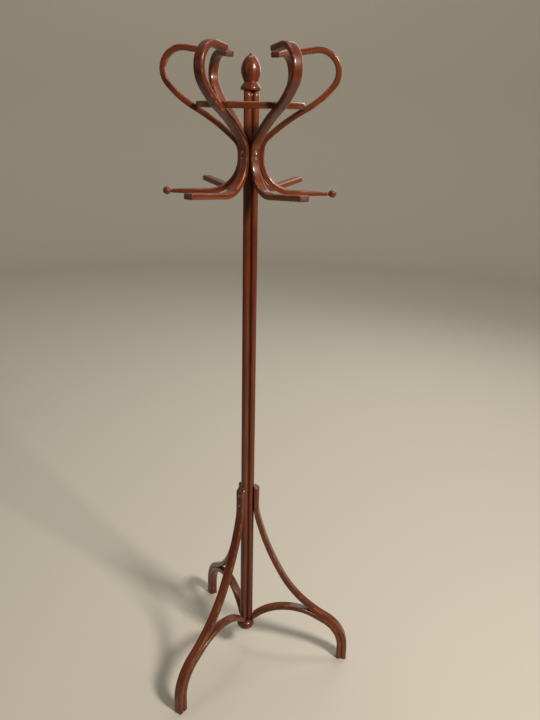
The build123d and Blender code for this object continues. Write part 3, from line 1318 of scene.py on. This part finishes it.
@dataclass
class Arms:
    """Six S-shaped arms: an upper curl, a waist on the post, and a lower hook.

    Attributes:
        stock: Shared sizes.
        count: Number of arms.
        knobbed: Arms with a slim hook and a knob.
        width: Width of a strap.
        thickness: Thickness of a strap.
        waist: Length of the flat on the post.
        bends_up: Bends from the waist to the curl.
        tip: Straight end of the curl.
        hook_radius: Radius of the hook's bend.
        plain_turn: Turn of a plain hook, in degrees.
        plain_end: Reach of a plain hook from the axis.
        slim_end: Reach of a slim hook from the axis, without its knob.
        slim_start_gap: Full section kept past the hook's bend.
        screw_spacing: Distance between the two screws of a waist.
        slim_width: Width at the neck of a slim hook.
        slim_thickness: Thickness at the neck of a slim hook.
        slim_corner: Radius of its edges there.
        slim_ease: Share of the slimming that is eased.
        neck: Radius of a knob's neck.
        knob: Radius of a knob's ball.
        knob_length: Distance from the knob's seat to the ball's far side.
        ring_inset: Distance from the hoop's outside to its middle.
    """

    stock: Stock
    count: int = 6
    knobbed: tuple[int, ...] = (0, 3)
    width: float = 26 * MM
    thickness: float = 15 * MM
    waist: float = 18 * MM
    bends_up: tuple[Bend, ...] = (arc(45 * MM, -47), arc(480 * MM, -14), arc(242 * MM, 21), arc(51 * MM, 138))
    tip: float = 44 * MM
    hook_radius: float = 86.3 * MM
    plain_turn: float = 95
    plain_end: float = 270 * MM
    slim_end: float = 202 * MM
    slim_start_gap: float = 1 * MM
    screw_spacing: float = 16 * MM
    slim_width: float = 12 * MM
    slim_thickness: float = 11 * MM
    slim_corner: float = 5 * MM
    slim_ease: float = 0.35
    neck: float = 4.6 * MM
    knob: float = 10.5 * MM
    knob_length: float = 26 * MM
    ring_inset: float = 5.5 * MM

    def angle(self, number: int) -> float:
        """Direction of an arm round the post, in degrees."""
        return number * 360 / self.count

    def waist_top(self) -> float:
        """Height at which the waist's flat ends, worked down from the top of the loops.

        Returns:
            The height.
        """
        climbing = list(self.bends_up[:-1])
        turned = 90 + sum(bend.amount for bend in climbing)
        climbing.append(arc(self.bends_up[-1].radius, 180 - turned))
        climb = BentPath((0, 0), 90, climbing).end.height
        return CAD_HIGH.z - self.thickness / 2 - climb

    def hook_height(self) -> float:
        """Height of the level part of the hooks."""
        return self.waist_top() - self.waist - self.hook_radius

    def path(self, number: int) -> BentPath:
        """Centre line of an arm, from the end of its hook to the tip of its curl.

        Args:
            number: The arm, from 0.

        Returns:
            The path.
        """
        touch = self.stock.contact(self.angle(number))
        inset = self.stock.lobe_contact - touch
        climb = math.radians(90 + self.bends_up[0].amount)
        leaning = inset / math.cos(climb)
        lift = leaning * math.sin(climb)
        turn = 90.0 if number in self.knobbed else self.plain_turn
        reach = self.slim_end if number in self.knobbed else self.plain_end
        bottom = (touch + self.thickness / 2, self.waist_top() - self.waist)
        hook = BentPath(bottom, -90, [arc(self.hook_radius, turn)]).end
        run = (reach - hook.out) / math.cos(hook.heading)
        start = hook.beside(0.0, run)
        bends = [straight(run), arc(self.hook_radius, -turn), straight(self.waist - lift), self.bends_up[0]]
        bends += [straight(leaning), *self.bends_up[1:], straight(self.tip)]
        return BentPath(start, math.degrees(hook.heading) + 180, bends)

    def section(self, number: int) -> Callable[[float], FlatSection]:
        """Section of an arm along its length.

        Args:
            number: The arm, from 0.

        Returns:
            A function of the distance from the end of the hook.
        """
        full_out = self.stock.lobe_contact + self.thickness / 2 + self.hook_radius + self.slim_start_gap
        taper = self.slim_end - full_out

        def at(along: float) -> FlatSection:
            """Full section, or the slim one easing into it."""
            if number not in self.knobbed:
                return FlatSection(self.width, self.thickness, self.stock.strap_corner)
            even = min(along / taper, 1.0)
            share = (1 - self.slim_ease) * even + self.slim_ease * smooth(even)
            return FlatSection(
                self.slim_width + (self.width - self.slim_width) * share,
                self.slim_thickness + (self.thickness - self.slim_thickness) * share,
                self.slim_corner + (self.stock.strap_corner - self.slim_corner) * share,
            )

        return at

    def build(self) -> None:
        """Builds and dresses every arm and knob."""
        for number in range(self.count):
            name = f"arm_{number + 1}"
            angle = self.angle(number)
            first = SAWN_END if number in self.knobbed else StrapEnd()
            strap = Strap(self.path(number), self.section(number), angle, first, StrapEnd(), seed=11 + number)
            piece = strap.build(name + "_strap")
            coat(piece, STRAP_FINISHES)
            face = self.stock.contact(angle) + self.thickness
            middle = self.waist_top() - self.waist / 2
            heights = (middle - self.screw_spacing / 2, middle + self.screw_spacing / 2)
            cutters = [self.stock.countersink((face, height), 0, angle) for height in heights]
            head, heading = self.ring_screw()
            cutters.append(self.stock.countersink(head, heading, angle))
            bore_out(piece, cutters)
            dress(piece, STRAP_FINISHES, name)
        for number in self.knobbed:
            self._knob(number)

    def seat(self) -> Station:
        """Where the arm turns from its flare to its rise, and the hoop sits.

        Returns:
            The station.
        """
        start = (self.stock.lobe_contact + self.thickness / 2, self.waist_top())
        return BentPath(start, 90, list(self.bends_up[:2])).end

    def ring_screw(self) -> tuple[Point, float]:
        """Head of the screw into the hoop, and where it faces.

        Returns:
            Place out from the axis and up, and heading in degrees.
        """
        seat = self.seat()
        low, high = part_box("crown_ring")
        ring_out, ring_up = high.x - self.ring_inset, (low.z + high.z) / 2
        cos, sin = math.cos(seat.heading), math.sin(seat.heading)
        shift = (ring_out - seat.out) * cos + (ring_up - seat.height) * sin
        return seat.beside(-self.thickness / 2, shift), math.degrees(seat.heading) - 90

    def _knob(self, number: int) -> None:
        """Builds one turned knob.

        Args:
            number: The arm that carries it, from 0.
        """
        stem = self.slim_thickness / 2
        low = self.knob_length - self.knob
        start = -math.degrees(math.acos(stem / self.knob))
        base = low + self.knob * math.sin(math.radians(start))
        outline = [(0, 0.0), (stem - 0.5 * MM, 0.0), (stem, 0.5 * MM), (stem, 1.3 * MM)]
        cove = [(stem, 1.6 * MM), (self.neck, 3.2 * MM), (self.neck + 0.2 * MM, 4.6 * MM), (stem, base)]
        outline += outline_through(cove, 5)
        outline += outline_arc((0, low), self.knob, start + 6, 89.9, 26)
        around = Matrix.Rotation(math.radians(self.angle(number)), 4, "Z")
        out = Matrix.Translation((self.slim_end, 0, self.hook_height()))
        place = around @ out @ Matrix.Rotation(math.pi / 2, 4, "Y")
        piece = Turning(outline).build(f"hook_knob_{number + 1}_turning", place)
        dress(piece, (Finish.TURNED,), f"hook_knob_{number + 1}")


@dataclass
class Hoop:
    """Bent hoop inside the arms.

    Attributes:
        width: Width of its section, across the hoop.
        corner: Radius of its edges.
        uneven: Largest unevenness of its round.
        steps: Number of sections round it.
    """

    width: float = 11 * MM
    corner: float = 3.5 * MM
    uneven: float = 0.25 * MM
    steps: int = 180

    def build(self) -> None:
        """Sweeps the section round and dresses it."""
        low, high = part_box("crown_ring")
        height = high.z - low.z
        radius = high.x - self.width / 2
        centre = (low.z + high.z) / 2
        section = FlatSection(self.width, height, self.corner).points()
        surface = Surface()
        waver = Waver(77, self.uneven, math.tau * radius / 2)
        rings = []
        for i in range(self.steps):
            turn = math.tau * i / self.steps
            outward = Vector((math.cos(turn), math.sin(turn), 0))
            closing = math.sin(turn / 2) ** 2
            placed = [outward * (radius + p.across + waver(turn * radius) * closing * 0.5) for p in section]
            placed = [spot + Vector((0, 0, centre + p.out)) for spot, p in zip(placed, section)]
            rings.append((surface.ring(placed), turn * radius))
        for i, (a, along) in enumerate(rings):
            b = rings[(i + 1) % self.steps][0]
            ahead = along + math.tau * radius / self.steps
            for j in range(len(section)):
                k = (j + 1) % len(section)
                p, q = section[j], section[k]
                corners = (
                    (along, p.across, p.out, p.edge), (ahead, p.across, p.out, p.edge),
                    (ahead, q.across, q.out, q.edge), (along, q.across, q.out, q.edge),
                )
                surface.face((a + j, b + j, b + k, a + k), corners, 0)
        piece = surface.to_object("crown_ring_hoop")
        dress(piece, (Finish.HOOP,), "crown_ring")


@dataclass
class Legs:
    """Three bent legs, each with an arched brace beneath its knee.

    Attributes:
        stock: Shared sizes.
        count: Number of legs.
        first_angle: Direction of the first leg, in degrees.
        width: Width of a strap.
        thickness: Thickness of a strap.
        foot: Distance of a foot's middle from the axis.
        foot_straight: Upright part of a foot.
        knee: Radius of the knee's bend.
        knee_turn: Turn of the knee, in degrees.
        leg_bends: Bends from the knee to the post, before scaling.
        top_straight: Flat of a leg on the post.
        top_bevel: Slant of a leg's top, in degrees.
        top_fade, toe_fade: Length over which the slant of a leg's top and of a brace's toe fades.
        brace_bends: Bends from the knee to the brace's toe, before scaling.
        leg_screw_drops: Depths of the screws below a leg's top.
        foot_screw: Height of the screw in a foot.
        knee_screw: Place of the screw on the knee's bend, in degrees.
        toe_setback: Distance of the toe's screw from the brace's end.
    """

    stock: Stock
    count: int = 3
    first_angle: float = -5.0
    width: float = 26 * MM
    thickness: float = 16 * MM
    foot: float = 327 * MM
    foot_straight: float = 46 * MM
    knee: float = 130 * MM
    knee_turn: float = 60
    leg_bends: tuple[Bend, ...] = (arc(370 * MM, -31), arc(840 * MM, -15), arc(150 * MM, -14))
    top_straight: float = 70 * MM
    top_bevel: float = 35
    top_fade: float = 46 * MM
    toe_fade: float = 26 * MM
    brace_bends: tuple[Bend, ...] = (straight(35 * MM), arc(170 * MM, 47), arc(140 * MM, 25), straight(19 * MM))
    leg_screw_drops: tuple[float, ...] = (22 * MM, 58 * MM)
    foot_screw: float = 24 * MM
    knee_screw: float = 35
    toe_setback: float = 6 * MM

    def leg_path(self) -> BentPath:
        """Centre line of a leg, from the floor to its top on the post.

        Returns:
            The path.
        """
        start = [straight(self.foot_straight), arc(self.knee, self.knee_turn)]
        bend_end = BentPath((self.foot, 0), 90, start).end
        rest = list(self.leg_bends)
        run = -BentPath((0, 0), math.degrees(bend_end.heading), rest).end.out
        factor = (bend_end.out - self.stock.lobe_contact - self.thickness / 2) / run
        scaled = [bend.scaled(factor) for bend in rest]
        return BentPath((self.foot, 0), 90, start + scaled + [straight(self.top_straight)])

    def brace_path(self) -> BentPath:
        """Centre line of a brace, from the floor to the post.

        Returns:
            The path.
        """
        start = [straight(self.foot_straight), arc(self.knee - self.thickness, self.knee_turn)]
        foot = (self.foot - self.thickness, 0)
        bend_end = BentPath(foot, 90, start).end
        rest = list(self.brace_bends)
        run = -BentPath((0, 0), math.degrees(bend_end.heading), rest).end.out
        factor = (bend_end.out - self.stock.lobe_contact) / run
        return BentPath(foot, 90, start + [b.scaled(factor) for b in rest])

    def build(self) -> None:
        """Builds and dresses every leg and brace."""
        leg, brace = self.leg_path(), self.brace_path()
        slant = math.tan(math.radians(self.top_bevel))
        bevel = StrapEnd(2 * MM, -slant * self.thickness / 2, slant, self.top_fade)
        steep = 1 / math.tan(brace.end.heading)
        mitre = StrapEnd(0.6 * MM, 0.0, steep, self.toe_fade)
        even = FlatSection(self.width, self.thickness, self.stock.strap_corner)
        toe = brace.at(brace.length - self.toe_setback)
        centre = (self.foot - self.knee, self.foot_straight)
        inner = self.knee - self.thickness * 1.5
        knee = math.radians(self.knee_screw)
        knee_head = (centre[0] + inner * math.cos(knee), centre[1] + inner * math.sin(knee))

        def section(_: float) -> FlatSection:
            """The same section all along."""
            return even

        for number in range(self.count):
            angle = self.first_angle + number * 360 / self.count
            face = self.stock.lobe_contact + self.thickness
            holes = [((face, leg.end.height - drop), 0) for drop in self.leg_screw_drops]
            strap = Strap(leg, section, angle, SAWN_END, bevel, seed=31 + number)
            self._strap(f"leg_{number + 1}", strap, holes)
            holes = [
                ((self.foot - self.thickness * 1.5, self.foot_screw), 180),
                (knee_head, self.knee_screw + 180),
                (toe.beside(self.thickness / 2), math.degrees(toe.heading) + 90),
            ]
            strap = Strap(brace, section, angle, SAWN_END, mitre, seed=51 + number)
            self._strap(f"brace_{number + 1}", strap, holes)

    def _strap(self, node: str, strap: Strap, holes: Sequence[tuple[Point, float]]) -> None:
        """Builds, bores and dresses one strap.

        Args:
            node: CAD node that it replaces.
            strap: The strap.
            holes: Head of each screw and where it faces, in degrees from outwards.
        """
        piece = strap.build(f"{node}_strap")
        coat(piece, STRAP_FINISHES)
        bore_out(piece, [self.stock.countersink(head, heading, strap.angle) for head, heading in holes])
        dress(piece, STRAP_FINISHES, node)


@dataclass
class Post:
    """Three-lobed post with its acorn finial and its button.

    Attributes:
        stock: Shared sizes.
        core: Radius of the post between its lobes, as a share of a lobe's.
        rings: Number of steps up the post.
        rim: Outline of the finial's collar, in mm from the axis and up, and so for the next two.
        sweep: Outline from the collar to the acorn.
        acorn: Outline of the acorn.
        nub: Radius of the acorn's tip.
        button_flat: Flat of the button, as a share of its radius.
    """

    stock: Stock
    core: float = 0.97
    rings: int = 110
    rim: tuple[Point, ...] = ((23.6, 0.4), (25.3, 1.9), (26.0, 4.4), (25.7, 7.0), (24.6, 9.2))
    sweep: tuple[Point, ...] = ((23.6, 10.6), (21.7, 13.3), (19.0, 16.2), (17.3, 18.6), (17.0, 19.6))
    acorn: tuple[Point, ...] = (
        (17.4, 20.9), (20.6, 28.0), (23.9, 38.0), (24.9, 47.0),
        (23.4, 57.0), (19.6, 67.0), (13.0, 76.5), (5.4, 81.6),
    )
    nub: float = 4.6 * MM
    button_flat: float = 0.55

    def build(self) -> None:
        """Builds and dresses the post and both turnings."""
        self._shaft()
        self._finial()
        self._button()

    def _shaft(self) -> None:
        """Sweeps the lobed section up the post."""
        low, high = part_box("post")
        stock = self.stock
        section = LobedSection(stock.lobe_radius, stock.lobe_offset, stock.lobe_radius * self.core).points()
        turn = math.radians(stock.first_lobe)
        surface = Surface()
        rings: Rings = []
        length = high.z - low.z
        for i in range(self.rings + 1):
            height = low.z + length * i / self.rings
            placed, straightened = [], []
            for p in section:
                x = p.across * math.cos(turn) - p.out * math.sin(turn)
                y = p.across * math.sin(turn) + p.out * math.cos(turn)
                placed.append(Vector((x, y, height)))
                straightened.append((height, x, y, 0.0))
            rings.append((surface.ring(placed), straightened))
        surface.skin(rings)
        piece = surface.to_object("post_shaft")
        dress(piece, (Finish.POST, Finish.ENDS), "post")

    def _finial(self) -> None:
        """Turns the acorn on its flared collar."""
        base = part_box("post")[1].z
        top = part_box("finial")[1].z - base
        outline = [(0, 0.0), (21.5 * MM, 0.0), (22.8 * MM, 0.15 * MM), *self._curve(self.rim, 6)]
        outline += [(24.0 * MM, 9.6 * MM), (23.7 * MM, 10.2 * MM), *self._curve(self.sweep, 5)]
        outline += [(16.7 * MM, 19.9 * MM), (16.8 * MM, 20.3 * MM), *self._curve(self.acorn, 8)]
        outline += outline_arc((0, top - self.nub), self.nub, 6, 89.9, 10)
        piece = Turning(outline, steps=72).build("finial_turning", Matrix.Translation((0, 0, base)))
        dress(piece, (Finish.TURNED,), "finial")

    @staticmethod
    def _curve(points: Sequence[Point], steps: int) -> list[Point]:
        """Smooth outline, in metres, through points in millimetres."""
        return [(out * MM, up * MM) for out, up in outline_through(points, steps)]

    def _button(self) -> None:
        """Turns the flattened ball under the post."""
        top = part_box("post")[0].z
        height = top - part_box("base_button")[0].z
        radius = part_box("base_button")[1].x
        flat = self.button_flat * radius
        half = height / 2
        bulge = (half ** 2 + (radius - flat) ** 2) / (2 * (radius - flat))
        spread = math.degrees(math.asin(half / bulge))
        dimple = [(flat * 0.5, -height), (flat * 0.56, -height + 0.5 * MM), (flat * 0.62, -height)]
        outline = [(0, -height), *dimple]
        outline += outline_arc((radius - bulge, -half), bulge, -spread, spread, 30)
        outline += [(flat * 0.9, 0.0), (0, 0.0)]
        piece = Turning(outline, steps=64).build("base_button_turning", Matrix.Translation((0, 0, top)))
        dress(piece, (Finish.TURNED,), "base_button")


@dataclass
class Screws:
    """Slotted countersunk screws, kept from the frame."""

    nodes: tuple[str, ...] = (
        "arm_post_screws", "ring_screws", "leg_post_screws", "leg_brace_screws", "brace_post_screws",
    )

    def build(self) -> None:
        """Gives the screws their steel."""
        steel = Finish.SCREWS.value.make()
        for node in self.nodes:
            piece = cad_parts[node]
            piece.data.materials.clear()
            piece.data.materials.append(steel)
            LOG.info("%s: kept from the frame, in dark steel", node)


# ---------------------------------------------------------------------------------------------------------
# Studio
# ---------------------------------------------------------------------------------------------------------


@dataclass(frozen=True)
class Lamp:
    """Soft square lamp aimed at a point."""

    name: str
    place: tuple[float, float, float]
    aim: tuple[float, float, float]
    size: float
    power: float
    colour: tuple[float, float, float]

    def make(self) -> None:
        """Adds the lamp."""
        data = bpy.data.lights.new(self.name, "AREA")
        data.shape, data.size = "SQUARE", self.size
        data.energy, data.color = self.power, self.colour
        lamp = bpy.data.objects.new(self.name, data)
        lamp.location = self.place
        lamp.rotation_euler = (Vector(self.aim) - Vector(self.place)).to_track_quat("-Z", "Y").to_euler()
        bpy.context.scene.collection.objects.link(lamp)


@dataclass
class Studio:
    """Camera, pale floor and soft lamps.

    Attributes:
        camera_place: Where the camera stands.
        camera_down: How far it looks down, in degrees.
        camera_roll: How far it leans, in degrees.
        lens: Focal length in mm.
        sensor: Width of the sensor in mm.
        floor_reach: Radius of the level floor.
        wall_height: Top of the wall that it curves into.
        cove: Radius of the curve.
        floor_sides: Number of sides round the floor.
        floor_paint: Colour of the floor.
        sky: Colour of the light from all round.
        sky_strength: Its strength.
        lamps: The lamps.
    """

    camera_place: tuple[float, float, float] = (0.0625, -1.88, 1.71)
    camera_down: float = 19.9
    camera_roll: float = 1.2
    lens: float = 35.0
    sensor: float = 36.0
    floor_reach: float = 6.0
    wall_height: float = 7.0
    cove: float = 2.0
    floor_sides: int = 96
    floor_paint: Colour = (0.47, 0.43, 0.36, 1.0)
    floor_roughness: float = 0.85
    sky: Colour = (0.86, 0.84, 0.80, 1.0)
    sky_strength: float = 0.24
    lamps: tuple[Lamp, ...] = (
        Lamp("key", (2.0, -1.9, 3.1), (0.0, 0.0, 1.0), 0.6, 165.0, (1.0, 0.95, 0.87)),
        Lamp("fill", (-2.6, -2.4, 2.2), (0.0, 0.0, 0.9), 2.4, 7.0, (0.92, 0.96, 1.0)),
        Lamp("back", (1.6, 2.8, 2.8), (0.0, 0.0, 1.2), 2.4, 40.0, (1.0, 0.98, 0.95)),
        Lamp("wall wash", (0.0, 1.0, 6.0), (0.0, 6.5, 2.6), 2.5, 170.0, (1.0, 0.98, 0.94)),
    )

    def build(self) -> None:
        """Sets the camera, the floor, the lamps and the sky."""
        self._camera()
        self._floor()
        for lamp in self.lamps:
            lamp.make()
        world = bpy.data.worlds.new("studio")
        bpy.context.scene.world = world
        world.use_nodes = True
        background = world.node_tree.nodes["Background"]
        background.inputs["Color"].default_value = self.sky
        background.inputs["Strength"].default_value = self.sky_strength
        bpy.context.scene.view_settings.view_transform = "Standard"

    def _camera(self) -> None:
        """Adds the camera."""
        data = bpy.data.cameras.new("camera")
        data.lens, data.sensor_width, data.sensor_fit = self.lens, self.sensor, "AUTO"
        camera = bpy.data.objects.new("camera", data)
        tilt = Matrix.Rotation(math.radians(90 - self.camera_down), 4, "X")
        roll = Matrix.Rotation(math.radians(self.camera_roll), 4, "Z")
        camera.matrix_world = Matrix.Translation(self.camera_place) @ tilt @ roll
        bpy.context.scene.collection.objects.link(camera)
        bpy.context.scene.camera = camera

    def _floor(self) -> None:
        """Adds a plain pale floor that curves up into a wall all round."""
        profile = [(0.02, 0.0), (1.5, 0.0), (3.0, 0.0), (self.floor_reach, 0.0)]
        centre = (self.floor_reach, self.cove)
        profile += outline_arc(centre, self.cove, -90, 0, 16)[1:]
        profile.append((self.floor_reach + self.cove, self.wall_height))
        count = self.floor_sides
        turns = [math.tau * i / count for i in range(count)]
        points = [(r * math.cos(turn), r * math.sin(turn), z) for r, z in profile for turn in turns]
        faces = [tuple(range(count))]
        for ring in range(len(profile) - 1):
            for i in range(count):
                j = (i + 1) % count
                base = ring * count
                faces.append((base + i, base + count + i, base + count + j, base + j))
        mesh = bpy.data.meshes.new("floor")
        mesh.from_pydata(points, [], faces)
        mesh.shade_smooth()
        floor = bpy.data.objects.new("floor", mesh)
        bpy.context.scene.collection.objects.link(floor)
        material = bpy.data.materials.new("floor_paint")
        material.use_nodes = True
        shader = material.node_tree.nodes["Principled BSDF"]
        shader.inputs["Base Color"].default_value = self.floor_paint
        shader.inputs["Roughness"].default_value = self.floor_roughness
        mesh.materials.append(material)


def main() -> None:
    """Builds the stand and its studio."""
    logging.basicConfig(level=logging.INFO, format="%(name)s %(message)s")
    Studio().build()
    stock = Stock()
    Post(stock).build()
    Arms(stock).build()
    Hoop().build()
    Legs(stock).build()
    Screws().build()


if __name__ == "__main__":
    main()
